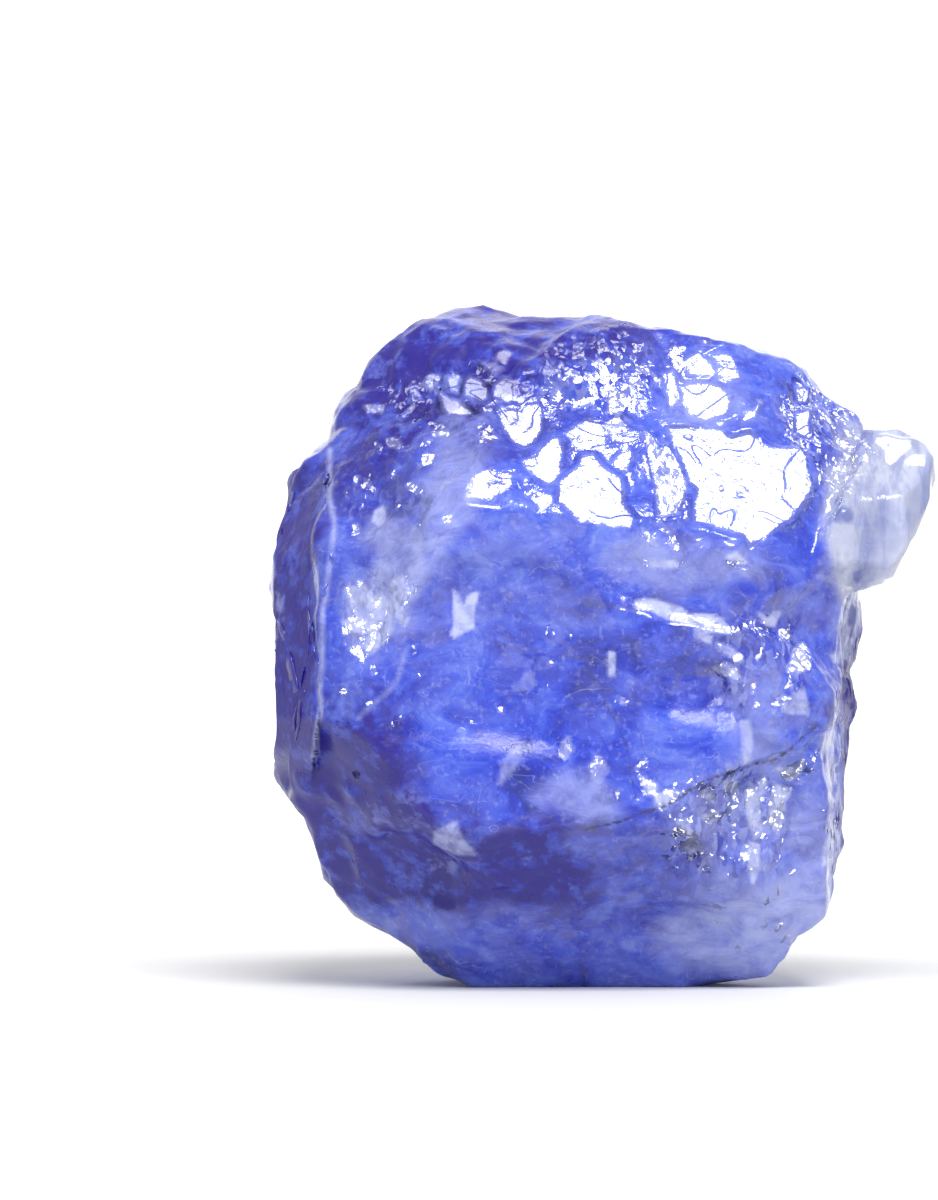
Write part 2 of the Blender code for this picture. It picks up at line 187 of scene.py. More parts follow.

# Marks on the upright front: outline, how much of it turns to the lamp, how pale it is as painted highlight and how
# grainy
marks = [
    ([(455, 592), (461, 605), (466, 606), (468, 596), (478, 592), (473, 610), (473, 627), (464, 631), (455, 637),
      (452, 634), (455, 625)], 0.0, 0.85, 0.0),
    ([(347, 588), (365, 586), (370, 596), (384, 596), (392, 609), (391, 632), (384, 642), (371, 654), (365, 645),
      (373, 631), (357, 631), (345, 622), (357, 616)], 0.38, 0.62, 0.9),
    ([(391, 583), (403, 577), (406, 594), (401, 604), (408, 620), (406, 625), (399, 617)], 0.0, 0.5, 1.0),
    ([(363, 404), (383, 404), (381, 411), (366, 408)], 1.0, 0.3, 0.4),
    ([(387, 439), (395, 438), (401, 444), (398, 448), (389, 445)], 1.0, 0.3, 0.2),
    ([(424, 457), (432, 457), (431, 464), (425, 464)], 1.0, 0.3, 0.2),
    ([(406, 485), (412, 484), (421, 492), (418, 495)], 1.0, 0.3, 0.2),
    ([(365, 480), (370, 482), (370, 487), (366, 485)], 1.0, 0.3, 0.0),
    ([(376, 512), (383, 508), (385, 518), (380, 526), (374, 521)], 0.0, 0.8, 0.2),
    ([(354, 525), (358, 525), (359, 533), (356, 533)], 1.0, 0.3, 0.0),
    ([(434, 432), (447, 432), (447, 435), (434, 435)], 1.0, 0.3, 0.0),
    ([(634, 601), (652, 601), (678, 608), (686, 615), (707, 615), (719, 620), (727, 632), (705, 631), (683, 622),
      (664, 618), (648, 609), (636, 608)], 0.0, 0.9, 0.2),
    ([(692, 629), (708, 637), (707, 642), (694, 636)], 0.0, 0.8, 0.1),
    ([(715, 643), (726, 646), (738, 655), (740, 661), (727, 656), (717, 648)], 1.0, 0.6, 0.4),
    ([(711, 669), (722, 663), (731, 667), (738, 679), (724, 674)], 1.0, 0.7, 0.2),
    ([(707, 705), (719, 696), (722, 698), (710, 706)], 1.0, 0.3, 0.2),
    ([(756, 613), (764, 624), (771, 625), (777, 613), (772, 612), (765, 620)], 0.0, 0.8, 0.2),
    ([(777, 632), (786, 632), (785, 640), (778, 639)], 1.0, 0.4, 0.2),
    ([(801, 643), (807, 651), (807, 667), (795, 672), (784, 670), (790, 658), (791, 650)], 1.0, 0.6, 0.3),
    ([(779, 706), (789, 696), (800, 687), (803, 698), (805, 713), (783, 711)], 0.0, 0.6, 0.5),
    ([(738, 720), (746, 720), (749, 741), (747, 763), (742, 763), (740, 741)], 0.0, 0.6, 0.1),
    ([(608, 652), (612, 652), (612, 675), (608, 675)], 0.0, 0.8, 0.0),
    ([(616, 697), (620, 698), (624, 703), (619, 702)], 1.0, 0.3, 0.0),
    ([(641, 528), (650, 538), (656, 549), (652, 549), (646, 540), (639, 530)], 1.0, 0.3, 0.0),
    ([(656, 522), (668, 531), (675, 548), (672, 550), (666, 535), (655, 525)], 1.0, 0.3, 0.0),
    ([(648, 561), (675, 563), (675, 567), (648, 566)], 0.0, 0.7, 0.3),
    ([(723, 558), (733, 554), (743, 563)], 0.0, 0.9, 0.0),
    ([(638, 775), (654, 783), (653, 793), (646, 789)], 0.8, 0.8, 0.2),
    ([(654, 793), (670, 788), (677, 791), (666, 800), (658, 806), (654, 802)], 0.8, 0.85, 0.3),
    ([(698, 787), (713, 796), (712, 800), (700, 793)], 0.8, 0.7, 0.3),
    ([(700, 815), (715, 811), (717, 816), (708, 821)], 0.8, 0.8, 0.1),
    ([(723, 779), (733, 778), (736, 789), (723, 789)], 0.5, 0.75, 0.5),
    ([(744, 789), (756, 785), (763, 777), (763, 789), (757, 796), (758, 814), (762, 831), (754, 837), (749, 823),
      (744, 802)], 0.7, 0.85, 0.5),
    ([(773, 785), (790, 789), (782, 802), (783, 819), (777, 830), (769, 823), (769, 804)], 0.7, 0.85, 0.4),
    ([(775, 766), (782, 770), (801, 760), (798, 773), (788, 779), (780, 773)], 0.7, 0.85, 0.4),
    ([(749, 842), (757, 844), (757, 867), (752, 882), (748, 863)], 0.3, 0.85, 0.4),
    ([(681, 842), (694, 840), (698, 846), (689, 852)], 0.7, 0.7, 0.4),
    ([(677, 819), (685, 823), (694, 836), (689, 837), (680, 829)], 0.7, 0.65, 0.6),
    ([(836, 825), (844, 840), (838, 860), (824, 865), (826, 844)], 0.0, 0.8, 0.8),
    ([(847, 817), (853, 815), (851, 827), (847, 829)], 0.0, 0.8, 0.3),
    ([(846, 634), (858, 640), (856, 663), (847, 656)], 0.0, 0.6, 0.8),
    ([(831, 655), (838, 654), (841, 662), (834, 661)], 0.0, 0.8, 0.2),
    (gloss["faces"][12], 0.8, 0.35, 0.7),
    ([(422, 383), (430, 373), (440, 376), (431, 388)], 0.7, 0.3, 0.8),
    ([(526, 741), (528, 746), (512, 769), (499, 782), (501, 768), (508, 753)], 0.0, 0.32, 0.0),
    ([(528, 671), (535, 682), (529, 688), (512, 690)], 0.0, 0.25, 0.0),
    ([(436, 830), (455, 820), (462, 836), (474, 851), (447, 853), (434, 841)], 0.0, 0.5, 0.3),
    ([(562, 741), (567, 736), (571, 748), (564, 757), (560, 752)], 0.5, 0.4, 0.5),
    ([(588, 762), (600, 758), (606, 768), (597, 782), (589, 774)], 0.4, 0.3, 0.5),
    ([(610, 393), (620, 392), (626, 400), (618, 414), (608, 411)], 0.8, 0.3, 0.8),
    ([(604, 426), (617, 418), (624, 426), (612, 440)], 0.8, 0.4, 0.6),
]

# Long marks on the front, through points of x, z: pale lines along arrises, partly worn edges and partly painted
# highlight, and dark lines, mostly cracks, the first along the edge between the left cheek and the middle face
threads = {
    "reach": 0.12,
    "step": 0.06,
    "wander": 0.10,
    "swayScale": 1.3,
    "pale": [
        ([(-7.5, 14.9), (-7.45, 13.5), (-7.35, 12.2), (-7.55, 11.2), (-7.60, 10.5), (-7.65, 9.0),
          (-7.75, 7.5), (-7.9, 6.4)], 0.6),
        ([(-5.32, 9.4), (-5.6, 8.6), (-6.6, 7.5)], 0.3),
        ([(5.9, 11.4), (7.0, 11.2), (7.8, 11.2)], 0.5),
    ],
    "dark": [
        ([(-3.12, 16.06), (-3.51, 15.0), (-3.84, 13.9), (-4.22, 12.95), (-4.99, 11.6), (-5.32, 11.0)], 0.55),
        ([(-0.45, 4.51), (1.30, 5.0), (1.83, 5.23), (2.49, 5.65), (3.02, 5.89), (3.68, 6.10), (4.63, 6.36),
          (5.23, 6.72), (5.87, 7.4)], 1.0),
        ([(0.01, 8.0), (0.35, 7.4), (0.60, 6.85), (0.80, 6.1), (0.92, 5.25)], 0.8),
        ([(-2.65, 10.67), (-2.1, 9.8), (-1.94, 9.06), (-1.83, 8.33), (-1.94, 7.01), (-2.19, 6.44),
          (-2.72, 5.69)], 0.7),
        ([(-2.98, 4.65), (-2.3, 4.45), (-1.9, 4.2), (-1.3, 4.6), (-0.9, 4.85)], 0.6),
        ([(1.44, 2.94), (2.3, 2.72), (2.82, 2.4), (3.5, 2.25)], 0.7),
        ([(-2.3, 9.4), (-1.0, 9.2), (-0.1, 8.9)], 0.35),
        ([(-6.4, 7.2), (-5.6, 6.7), (-4.9, 6.2)], 0.3),
    ],
}

# Where the front differs in colour, clearness and grain
zones = {
    # ink darkens to indigo: partly the stone's own dark colour, partly painted shade at the lower left, the top left
    # and the right edge
    "ink": [
        ((-8.7, 10.0), (0.8, 5.2), 0, 0.75),
        ((-7.4, 4.6), (2.3, 2.4), 0, 1.3),
        ((-8.3, 10.5), (0.6, 4.2), 0, 0.35),
        ((-4.8, 3.7), (3.9, 1.2), -6, 1.0),
        ((-0.4, 3.2), (4.2, 1.5), 0, 0.50),
        ((-6.8, 7.2), (1.8, 1.4), 0, 0.55),
        ((-5.5, 17.4), (1.4, 1.8), 0, 1.3),
        ((-4.9, 16.7), (2.0, 1.4), 0, 0.4),
        ((-1.9, 18.1), (3.4, 1.2), 0, 1.0),
        ((-6.6, 15.2), (1.3, 1.4), 0, 0.45),
        ((-3.6, 16.4), (2.6, 1.6), 0, 0.5),
        ((-3.9, 10.95), (1.4, 0.3), 10, 0.25),
        ((-6.6, 12.6), (1.2, 3.0), 0, 0.22),
        ((7.3, 6.9), (0.9, 3.8), 0, 1.0),
        ((7.6, 12.2), (0.8, 1.1), -15, 0.45),
        ((7.0, 13.0), (0.9, 1.0), 0, 0.2),
        ((8.85, 13.9), (0.5, 1.1), -10, 0.45),
        ((6.6, 12.9), (0.2, 0.2), 0, 1.0),
        ((7.0, 11.3), (0.16, 0.1), 0, 1.0),
    ],
    "matte": [
        ((-3.0, 6.65), (3.2, 0.9), 0, 0.95),
        ((2.8, 7.4), (1.6, 0.8), 0, 0.95),
        ((7.0, 6.6), (0.7, 4.4), 0, 0.75),
        ((-0.2, 5.4), (2.0, 0.7), 0, 0.6),
    ],
    "milk": [
        ((-5.8, 11.9), (0.7, 1.3), 0, 0.75),
        ((-4.2, 13.9), (0.8, 2.4), -20, 0.6),
        ((-6.0, 10.4), (0.9, 1.0), 0, 0.6),
        ((-9.1, 10.6), (0.22, 1.3), 0, 0.7),
        ((3.9, 4.6), (1.9, 1.5), 0, 0.3),
        ((2.4, 11.8), (2.2, 0.7), 0, 0.4),
        ((2.9, 16.4), (1.2, 1.1), 0, 0.45),
        ((-0.7, 5.4), (1.1, 0.7), 0, 0.55),
        ((-5.6, 4.9), (1.0, 0.6), -20, 0.4),
        ((3.9, 1.7), (2.4, 1.2), 10, 0.75),
        ((6.5, 3.0), (1.0, 2.0), 20, 0.45),
        ((-4.2, 3.9), (0.6, 0.5), 0, 0.8),
        ((4.4, 7.6), (0.8, 1.4), 0, 0.35),
        ((6.9, 8.4), (0.6, 4.0), 0, 0.2),
        ((-6.3, 17.2), (0.5, 1.2), -30, 0.3),
    ],
    "grain": [
        ((-0.2, 17.0), (1.9, 1.1), 10, 0.9),
        ((6.2, 15.3), (1.1, 1.9), 20, 1.0),
        ((4.3, 9.0), (1.4, 1.4), 0, 0.7),
        ((3.6, 4.6), (2.0, 1.5), 0, 0.85),
        ((6.9, 7.0), (0.7, 6.0), 0, 0.6),
        ((-4.8, 16.4), (1.1, 0.8), 0, 0.7),
        ((-6.2, 10.4), (0.8, 0.9), 0, 1.0),
        ((-6.0, 14.4), (1.5, 1.5), 0, 0.35),
        ((1.8, 14.1), (0.5, 1.1), 15, 0.9),
    ],
    "clear": [
        ((8.0, 13.2), (1.7, 2.5), -10, 1.4),
        ((6.6, 12.3), (0.6, 1.2), 0, 1.2),
    ],
    "wrinkle": [
        ((1.6, 14.9), (5.4, 2.9), 0, 1.0),
        ((-3.6, 16.4), (1.6, 1.0), 0, 1.0),
        ((3.8, 4.8), (2.2, 1.8), 0, 0.8),
        ((-6.2, 10.4), (0.9, 1.0), 0, 0.8),
        ((2.2, 10.4), (1.6, 0.4), -15, 0.8),
    ],
    "catch": [
        ((-3.12, 17.18), (0.44, 0.16), -30, 0.9),
        ((-1.51, 15.74), (0.12, 0.25), 10, 1.0),
        ((-1.64, 13.45), (0.28, 0.26), 0, 0.9),
        ((2.24, 17.50), (0.18, 0.30), 0, 0.9),
        ((2.02, 16.42), (0.22, 0.46), 0, 0.8),
        ((5.61, 16.63), (0.26, 0.32), 0, 1.0),
        ((5.54, 15.68), (0.40, 0.38), 30, 0.8),
        ((-5.24, 16.06), (0.34, 0.15), 0, 1.1),
        ((-6.20, 15.18), (0.20, 0.08), 0, 1.1),
        ((-6.43, 14.00), (0.10, 0.16), 20, 1.1),
        ((-4.42, 15.36), (0.20, 0.08), 0, 1.0),
        ((-6.78, 12.73), (0.10, 0.14), 0, 1.1),
        ((-6.31, 9.50), (0.18, 0.24), 0, 0.9),
        ((-5.51, 10.94), (0.18, 0.38), 0, 0.7),
        ((-5.43, 10.33), (0.18, 0.14), -30, 1.1),
        ((1.66, 11.75), (0.38, 0.10), 0, 1.2),
        ((3.62, 11.86), (0.30, 0.13), -15, 1.2),
        ((4.58, 10.24), (0.26, 0.20), 0, 0.9),
        ((5.29, 7.97), (0.36, 0.26), 15, 0.9),
        ((1.30, 5.71), (0.15, 0.26), 30, 1.1),
        ((2.85, 5.35), (0.28, 0.16), -35, 1.0),
        ((3.50, 5.71), (0.17, 0.20), 0, 1.0),
        ((4.30, 5.80), (0.13, 0.42), 0, 0.9),
        ((5.20, 6.15), (0.44, 0.16), -30, 1.1),
        ((5.50, 6.45), (0.12, 0.38), -15, 1.0),
        ((2.43, 3.99), (0.24, 0.18), 20, 1.0),
        ((2.25, 4.50), (0.12, 0.30), 30, 0.9),
        ((6.42, 4.04), (0.25, 0.38), 0, 0.9),
        ((-1.37, 10.15), (0.10, 0.16), 20, 1.2),
        ((-0.81, 10.00), (0.08, 0.14), 0, 1.1),
        ((-0.27, 8.88), (0.14, 0.07), 0, 1.1),
        ((-2.93, 8.06), (0.06, 0.12), 20, 1.0),
        ((-2.72, 6.83), (0.09, 0.11), 20, 1.2),
        ((-3.78, 7.22), (0.10, 0.08), 0, 1.1),
        ((-3.51, 7.54), (0.08, 0.08), 0, 1.1),
        ((-5.49, 7.35), (0.12, 0.09), -20, 1.1),
        ((-1.36, 8.91), (0.08, 0.08), 0, 1.1),
        ((-1.51, 8.25), (0.10, 0.07), 0, 1.1),
        ((-1.31, 7.25), (0.08, 0.10), 0, 1.1),
        ((0.44, 5.59), (0.08, 0.11), 0, 1.2),
        ((0.49, 8.01), (0.13, 0.09), -25, 1.4),
        ((-6.93, 6.22), (0.13, 0.13), 0, 1.1),
        ((-6.32, 8.06), (0.10, 0.13), 30, 1.1),
        ((-7.08, 8.33), (0.09, 0.14), 0, 1.1),
        ((1.10, 6.38), (0.14, 0.14), 0, 0.9),
        ((-4.92, 9.38), (0.06, 0.10), 0, 1.1),
        ((-4.86, 8.70), (0.07, 0.12), 15, 1.0),
        ((-8.96, 8.10), (0.10, 0.14), 40, 1.1),
        ((-0.2, 17.0), (1.9, 1.1), 10, 0.40),
        ((6.2, 15.3), (1.1, 1.9), 20, 0.30),
        ((4.3, 9.0), (1.4, 1.4), 0, 0.22),
        ((3.6, 4.6), (2.0, 1.6), 0, 0.26),
        ((6.9, 7.0), (0.7, 6.0), 0, 0.12),
        ((-4.6, 16.4), (1.2, 0.9), 0, 0.26),
        ((-6.3, 13.2), (1.8, 5.5), 0, 0.085),
        ((-1.0, 8.5), (4.5, 3.5), 0, 0.065),
        ((4.5, 3.2), (2.4, 2.4), 0, 0.10),
    ],
}

# How zones end: sway as scale and amount, how far and how sharply a spot fades, and where the tip starts
zoneEdges = {
    "sway": [(0.6, 0.5), (1.9, 0.18)],
    "reach": 1.45,
    "sharpness": 1.2,
    "turnedFully": 1.2,
    "clearFrom": 5.7,
    "clearFade": 0.7,
}

# What the rest of the stone gets instead: pattern size, how much of it is bare, and the contrast
restOfStone = {
    "ink": (3.2, 0.02, 3.0, 0.55),
    "matte": (2.6, 0.2, 3.0, 0.5),
    "milk": (2.6, 0.12, 3.0, 0.5),
    "grain": (2.9, 0.05, 3.5, 0.9),
    "clear": (5.0, 0.9, 1.0, 0.0),
    "wrinkle": (3.1, 0.0, 3.0, 1.0),
    "catch": (2.3, 0.15, 3.0, 0.35),
}


def spotShare(x, z, spot):
    (middleX, middleZ), (halfWidth, halfHeight), turn, amount = spot
    if abs(x - middleX) + abs(z - middleZ) > 2 * (halfWidth + halfHeight):
        return 0.0
    cos, sin = math.cos(math.radians(turn)), math.sin(math.radians(turn))
    u = ((x - middleX) * cos + (z - middleZ) * sin) / halfWidth
    v = ((z - middleZ) * cos - (x - middleX) * sin) / halfHeight
    return amount * ease(0.5 + (1 - math.hypot(u, v)) * zoneEdges["sharpness"])


def patchLift(point, size):
    # every patch is a flat face with a lean of its own, and neighbours meet in a narrow step
    spot = point / size
    distances, centres = noise.voronoi(spot)
    own, other = [(spot - c).dot(noise.cell_vector(c * skin["leanPattern"]) - half) for c in centres[:2]]
    share = 0.5 + 0.5 * min(1.0, (distances[1] - distances[0]) / skin["stepWidth"])
    return (own * share + other * (1 - share)) * size


def brokenness(point, normal):
    limit, width = skin["turnsFront"]
    facing = ease((limit - normal.y) / width)
    if facing == 0:
        return skin["sides"]
    front = skin["front"] + sum(spotShare(point.x, point.z, spot) for spot in rougher)
    return skin["sides"] * (1 - facing) + min(1.0, front) * facing


def breakSkin(piece):
    vertices = piece.data.vertices
    outward = [vertex.normal.copy() for vertex in vertices]
    for vertex, normal in zip(vertices, outward):
        point = vertex.co.copy()
        grounded = ease(point.z / stone["flatSpotHeight"])
        amount = brokenness(point, normal) * grounded
        vertex.co += normal * amount * sum(patchLift(point, size) * lean for size, lean in skin["patches"])


def pointTree(places):
    # points by x and z, to find those near a place
    tree = kdtree.KDTree(len(places))
    for index, x, z in places:
        tree.insert((x, 0, z), index)
    tree.balance()
    return tree


def frontPoints(piece, limit=stone["frontFacing"]):
    facing = [vertex for vertex in piece.data.vertices if vertex.normal.y < limit]
    return pointTree([(vertex.index, vertex.co.x, vertex.co.z) for vertex in facing])


def distanceInside(outline, x, z):
    # how far a point is inside an outline, negative outside it
    nearest, inside = math.inf, False
    for (startX, startZ), (endX, endZ) in zip(outline, outline[1:] + outline[:1]):
        alongX, alongZ, toX, toZ = endX - startX, endZ - startZ, x - startX, z - startZ
        part = min(1.0, max(0.0, (toX * alongX + toZ * alongZ) / (alongX ** 2 + alongZ ** 2)))
        nearest = min(nearest, math.hypot(toX - part * alongX, toZ - part * alongZ))
        if (startZ > z) != (endZ > z) and x < startX + (z - startZ) / alongZ * alongX:
            inside = not inside
    return nearest if inside else -nearest


def outlineShares(front, outline):
    # the points in an outline: their number, their place from its middle, and the share that each has
    outline = [fromPixel(pixel) for pixel in outline]
    middle = [sum(point[i] for point in outline) / len(outline) for i in (0, 1)]
    reach = max(math.hypot(x - middle[0], z - middle[1]) for x, z in outline) + gloss["edge"]
    found = []
    for place, index, gap in front.find_range((middle[0], 0, middle[1]), reach):
        share = ease(0.5 + (distanceInside(outline, place.x, place.z) + gloss["grow"]) / gloss["edge"])
        if share > 0:
            found.append((index, place.x - middle[0], place.z - middle[1], share))
    return found


def lampSlope(number=None):
    # the direction of a face that catches the lamp, or with a number, one that strays a little from it
    spread = Vector()
    if number is not None:
        spread = (noise.cell_vector(Vector((number, *gloss["strayPattern"]))) - half) * 2 * gloss["spread"]
    rise, side = math.radians(gloss["rise"] + spread.x), math.radians(gloss["side"] + spread.y)
    return Vector((math.sin(side) * math.cos(rise), -math.cos(side) * math.cos(rise), math.sin(rise)))


def arrisAt(z):
    for (lowZ, lowX, lowY), (highZ, highX, highY) in zip(shelf["arris"], shelf["arris"][1:]):
        if lowZ <= z < highZ:
            part = (z - lowZ) / (highZ - lowZ)
            return lowX + (highX - lowX) * part, lowY + (highY - lowY) * part
    return None


def fillShelf(piece):
    # the shelf falls away evenly from the arris, so no wall stands between them
    low, high = shelf["arris"][0][0], shelf["arris"][-1][0]
    points = [vertex.co for vertex in piece.data.vertices
              if vertex.co.x <= shelf["innerX"] and vertex.normal.y <= shelf["facing"]]
    for point in points:
        arris = arrisAt(point.z)
        if arris is None or point.x >= arris[0]:
            continue
        line = arris[1] + shelf["steepness"] * (arris[0] - point.x)
        if line >= point.y:
            continue
        ends = ease((point.z - low) / shelf["endFade"]) * ease((high - point.z) / shelf["endFade"])
        share = ends * ease((point.x - shelf["outerX"]) / shelf["edgeFade"])
        point.y += (line - point.y) * share * ease((point.y - line) / shelf["blend"])


def calmPlaces(vertices, front):
    for (x, z), halves, rise in calm["places"]:
        tilt = math.tan(math.radians(rise))
        around = front.find_range((x, 0, z), calm["reach"] * max(halves))
        middle = [vertices[index].co.y for place, index, gap in around if gap < calm["middle"]]
        middle = sum(middle) / len(middle)
        for place, index, gap in around:
            share = spotShare(place.x, place.z, ((x, z), halves, 0, 1.0))
            vertices[index].co.y += (middle + tilt * (place.z - z) - vertices[index].co.y) * share


def flattenFaces(vertices, front):
    for number, outline in enumerate(gloss["faces"]):
        slope = lampSlope(number)
        found = outlineShares(front, outline)
        # the plane goes through the middle of the points that face the front
        offsets = sorted(vertices[i].co.y + (slope.x * dx + slope.z * dz) / slope.y
                         for i, dx, dz, share in found if vertices[i].normal.y < gloss["level"])
        if not offsets:
            continue
        for index, dx, dz, share in found:
            flat = offsets[len(offsets) // 2] - (slope.x * dx + slope.z * dz) / slope.y
            if abs(flat - vertices[index].co.y) < gloss["farthest"]:
                vertices[index].co.y += (flat - vertices[index].co.y) * share


def applyMarks(piece, layers):
    # each mark's pale share is painted highlight, kept with the pale lines
    front = frontPoints(piece)
    smooth = [(outline, *gloss["mark"]) for outline in gloss["faces"]]
    for outline, turned, pale, grain in smooth + marks:
        for index, dx, dz, share in outlineShares(front, outline):
            layers["catch"][index] += (zoneEdges["turnedFully"] * turned - layers["catch"][index]) * share
            layers["paleWearAndHighlight"][index] = max(layers["paleWearAndHighlight"][index], pale * share)
            layers["grain"][index] += (grain - layers["grain"][index]) * share


def alongThread(points, step):
    for start, end in zip(points, points[1:]):
        start, end = Vector(start), Vector(end)
        count = max(1, int((end - start).length / step))
        for i in range(count):
            yield start.lerp(end, i / count)


def threadShares(piece, kind):
    shares = [0.0] * len(piece.data.vertices)
    front = frontPoints(piece)
    reach = threads["reach"]
    for points, amount in threads[kind]:
        for x, z in alongThread(points, threads["step"]):
            sway = noise.noise_vector(Vector((x, 0, z)) * threads["swayScale"]) * threads["wander"]
            for place, index, gap in front.find_range((x + sway.x, 0, z + sway.z), reach):
                shares[index] = max(shares[index], amount * (1 - gap / reach))
    return shares


def edgeShares(piece):
    # how far each point stands out from its neighbours: positive on ridges, negative in clefts
    vertices = piece.data.vertices
    outward = [vertex.normal.copy() for vertex in vertices]
    total, count = [0.0] * len(vertices), [0] * len(vertices)
    for edge in piece.data.edges:
        a, b = edge.vertices
        along = vertices[a].co - vertices[b].co
        length = max(along.length, 1e-6)
        total[a] += along.dot(outward[a]) / length
        total[b] -= along.dot(outward[b]) / length
        count[a] += 1
        count[b] += 1
    return [value / max(1, number) for value, number in zip(total, count)]


def zoneShares(name, vertices, front, around):
    size, bare, contrast, most = restOfStone[name]
    values = [0.0] * len(vertices)
    for spot in zones[name]:
        (x, z), halves = spot[:2]
        for place, index, gap in around.find_range((x, 0, z), zoneEdges["reach"] * max(halves)):
            values[index] += spotShare(place.x, place.z, spot)
    for index, vertex in enumerate(vertices):
        onFront = min(1.0, values[index])
        if name == "clear":
            values[index] = onFront * ease((vertex.co.x - zoneEdges["clearFrom"]) / zoneEdges["clearFade"])
        elif front[index] < 1:
            # the name's length moves the pattern, so that the layers don't all lie alike
            rest = most * ease((noise.noise(vertex.co / size + half * len(name)) - bare) * contrast)
            values[index] = onFront * front[index] + rest * (1 - front[index])
        else:
            values[index] = onFront
    return values


def markZones(piece):
    vertices = piece.data.vertices
    nearest, deepest = stone["frontDepth"]
    front = [ease((deepest - vertex.co.y) / (deepest - nearest)) for vertex in vertices]
    swayed = []
    for vertex in vertices:
        sway = sum((noise.noise_vector(vertex.co * scale) * amount for scale, amount in zoneEdges["sway"]), Vector())
        swayed.append((vertex.index, vertex.co.x + sway.x, vertex.co.z + sway.z))
    around = pointTree([place for place in swayed if front[place[0]] > 0])
    layers = {name: zoneShares(name, vertices, front, around) for name in zones}
    layers["paleWearAndHighlight"] = threadShares(piece, "pale")
    layers["crack"] = threadShares(piece, "dark")
    layers["ridge"] = edgeShares(piece)
    applyMarks(piece, layers)
    for name, values in layers.items():
        layer = piece.data.attributes.new(name, "FLOAT", "POINT")
        layer.data.foreach_set("value", values)


def makeStone():
    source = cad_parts[stone["node"]]
    piece = bpy.data.objects.new(stone["name"], source.data.copy())
    bpy.context.collection.objects.link(piece)
    piece.data.transform(Matrix.Scale(1 / mm, 4))
    pick(piece)
    bpy.ops.object.mode_set(mode="EDIT")
    bpy.ops.mesh.select_all(action="SELECT")
    bpy.ops.mesh.remove_doubles(threshold=stone["mergeGap"])
    bpy.ops.object.mode_set(mode="OBJECT")
    addModifier(piece, "REMESH", mode="VOXEL", voxel_size=stone["voxel"])
    addModifier(piece, "SMOOTH", factor=stone["softenFactor"], iterations=stone["softenTurns"])
    print("stone: remeshed,", len(piece.data.polygons), "faces")
    fillShelf(piece)
    breakSkin(piece)
    turnedFront = frontPoints(piece, gloss["facing"])
    calmPlaces(piece.data.vertices, turnedFront)
    flattenFaces(piece.data.vertices, turnedFront)
    triangles = sum(len(face.vertices) - 2 for face in piece.data.polygons)
    if triangles > stone["triangles"]:
        rest = piece.vertex_groups.new(name="rest")
        for vertex in piece.data.vertices:
            if vertex.normal.y > stone["frontFacing"]:
                rest.add([vertex.index], 1.0, "REPLACE")
        addModifier(piece, "DECIMATE", ratio=stone["triangles"] / triangles, vertex_group="rest",
                    vertex_group_factor=stone["thinRest"])
        piece.vertex_groups.clear()
    markZones(piece)
    piece.data.transform(Matrix.Scale(mm, 4))
    piece.data.shade_smooth()
    print("stone: broken up,", len(piece.data.polygons), "faces")
    return piece


def addNode(tree, kind, inputs=None, **settings):
    made = tree.nodes.new("ShaderNode" + kind)
    for name, value in settings.items():
        setattr(made, name, value)
    for name, value in (inputs or {}).items():
        if isinstance(value, bpy.types.NodeSocket):
            tree.links.new(value, made.inputs[name])
        else:
            made.inputs[name].default_value = value
    return made


def mixColour(tree, factor, first, second):
    return addNode(tree, "Mix", {0: factor, 6: first, 7: second}, data_type="RGBA").outputs[2]


def blendValue(tree, factor, first, second):
    return addNode(tree, "Mix", {0: factor, 2: first, 3: second}, data_type="FLOAT").outputs[0]


def calc(tree, operation, first, second=0.0, clamp=False):
    return addNode(tree, "Math", {0: first, 1: second}, operation=operation, use_clamp=clamp).outputs[0]


def times(tree, first, second):
    return calc(tree, "MULTIPLY", first, second)


def plus(tree, first, second):
    return calc(tree, "ADD", first, second)


def vectorCalc(tree, operation, first, second):
    made = addNode(tree, "VectorMath", {0: first, 1: second}, operation=operation)
    return made.outputs["Value" if operation == "DOT_PRODUCT" else "Vector"]


def scaled(tree, vector, amount):
    return addNode(tree, "VectorMath", {0: vector, "Scale": amount}, operation="SCALE").outputs["Vector"]


def ramp(tree, factor, limits):
    low, high, start, end = limits
    inputs = {"Value": factor, "From Min": low, "From Max": high, "To Min": start, "To Max": end}
    return addNode(tree, "MapRange", inputs, interpolation_type="SMOOTHSTEP").outputs["Result"]


def parts(tree, colour):
    return addNode(tree, "SeparateColor", {"Color": colour}).outputs


def cloud(tree, place, name):
    scale, detail, distortion, roughness = patterns[name]
    inputs = {"Vector": place, "Scale": scale, "Detail": detail, "Distortion": distortion, "Roughness": roughness}
    return addNode(tree, "TexNoise", inputs).outputs


def colourRamp(tree, factor, shades):
    made = addNode(tree, "ValToRGB", {"Fac": factor})
    stops = made.color_ramp.elements
    for position, colour in shades[2:]:
        stops.new(position)
    for stop, (position, colour) in zip(stops, shades):
        stop.position, stop.color = position, colour
    return made.outputs["Color"]


def thinLines(tree, place, name, width):
    # long wandering lines where a pattern crosses its middle, here and there
    pattern = cloud(tree, place, name)
    gap = calc(tree, "ABSOLUTE", calc(tree, "SUBTRACT", pattern["Fac"], 0.5))
    here = parts(tree, pattern["Color"])["Green"]
    return times(tree, ramp(tree, gap, (0.0, width, 1.0, 0.0)), ramp(tree, here, ramps["lineHere"]))


